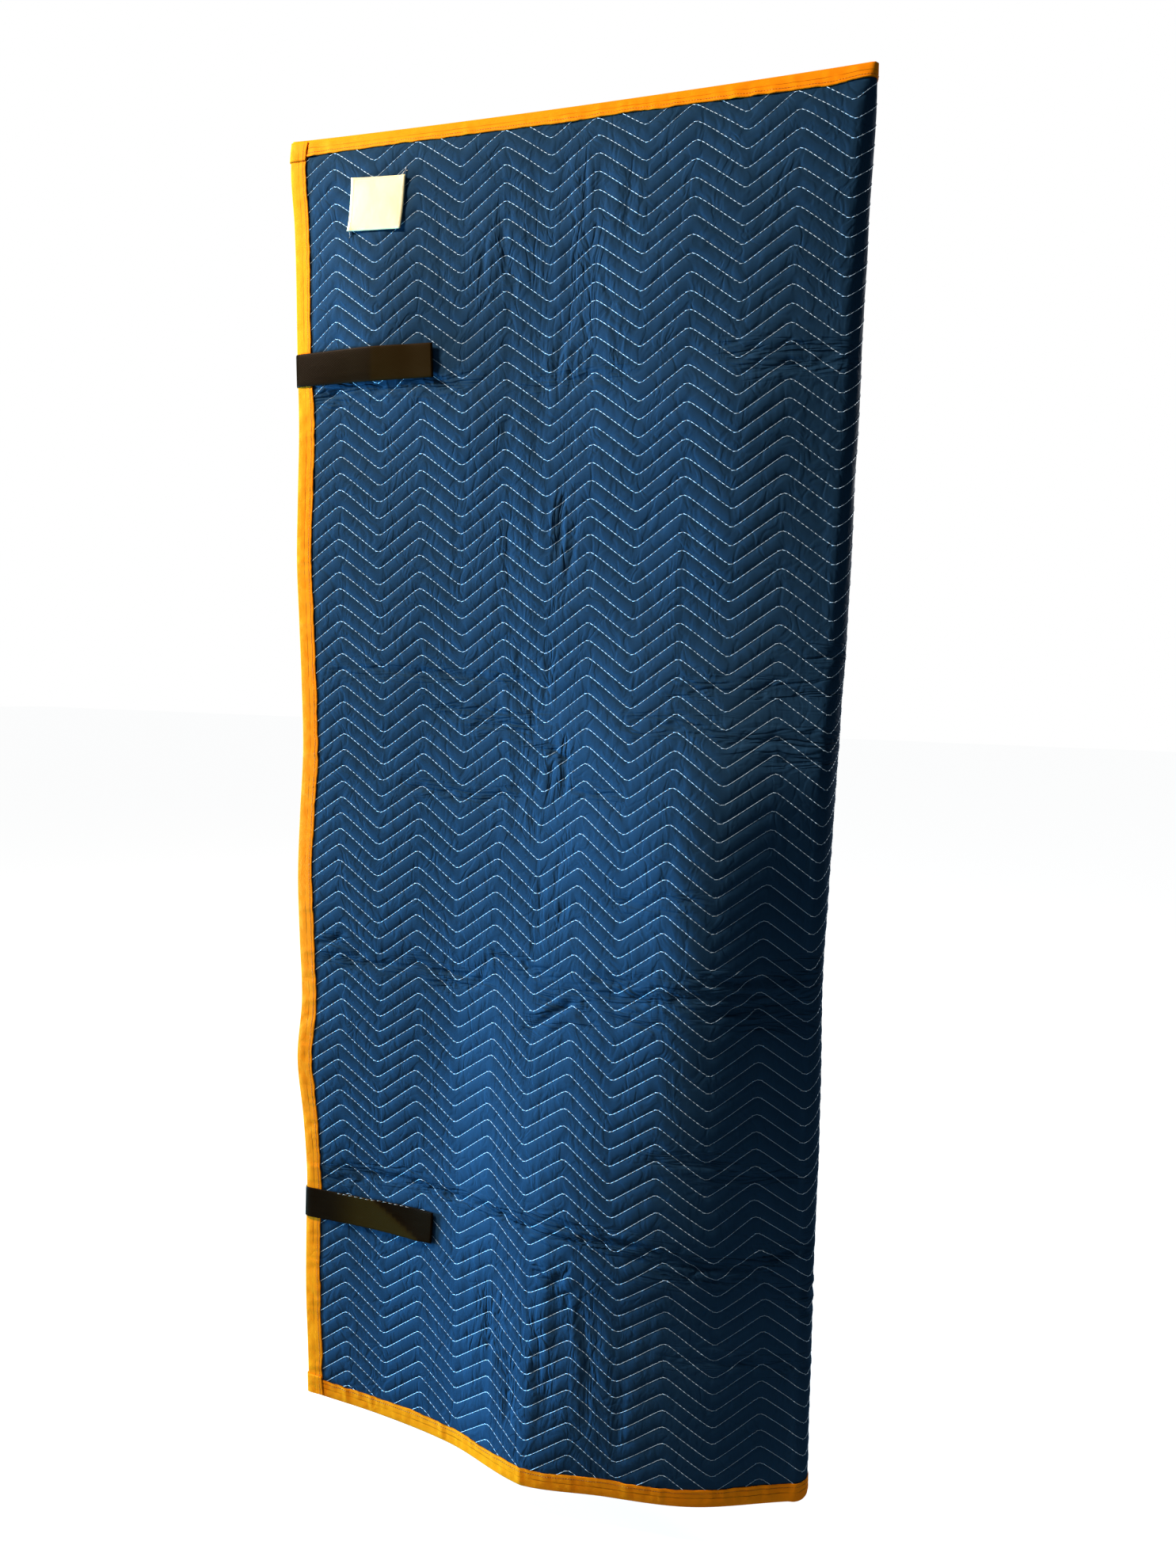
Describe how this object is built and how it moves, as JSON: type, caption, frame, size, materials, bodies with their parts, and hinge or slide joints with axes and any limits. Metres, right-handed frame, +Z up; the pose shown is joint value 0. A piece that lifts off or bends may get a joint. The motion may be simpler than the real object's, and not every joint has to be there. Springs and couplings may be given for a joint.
{
  "type": "quilted door cover",
  "caption": "Padded quilted cover that hangs over a door, folded round its free edge, closed at the top, bound with tape and held by two webbing straps across the open side.",
  "frame": {"origin": "inside the pocket, in the middle between its faces, on the line where the top edge of the door bears", "axes": "+Z up, -Y out of the front face with the label, +X towards the fold round the door's free edge"},
  "size_m": [0.8812, 0.1926, 2.0315],
  "materials": {
    "quilt_cloth": "woven navy cloth, quilted in zigzag lines",
    "binding_tape": "ribbed orange binding tape",
    "strap_webbing": "dark brown webbing",
    "label_cloth": "bare cream patch"
  },
  "bodies": {
    "root": {"quilt": "quilt_cloth", "tape_front_side": "binding_tape", "tape_back_side": "binding_tape", "tape_hem": "binding_tape", "tape_top": "binding_tape", "strap_upper": "strap_webbing", "strap_lower": "strap_webbing", "label": "label_cloth"}
  },
  "joints": []
}
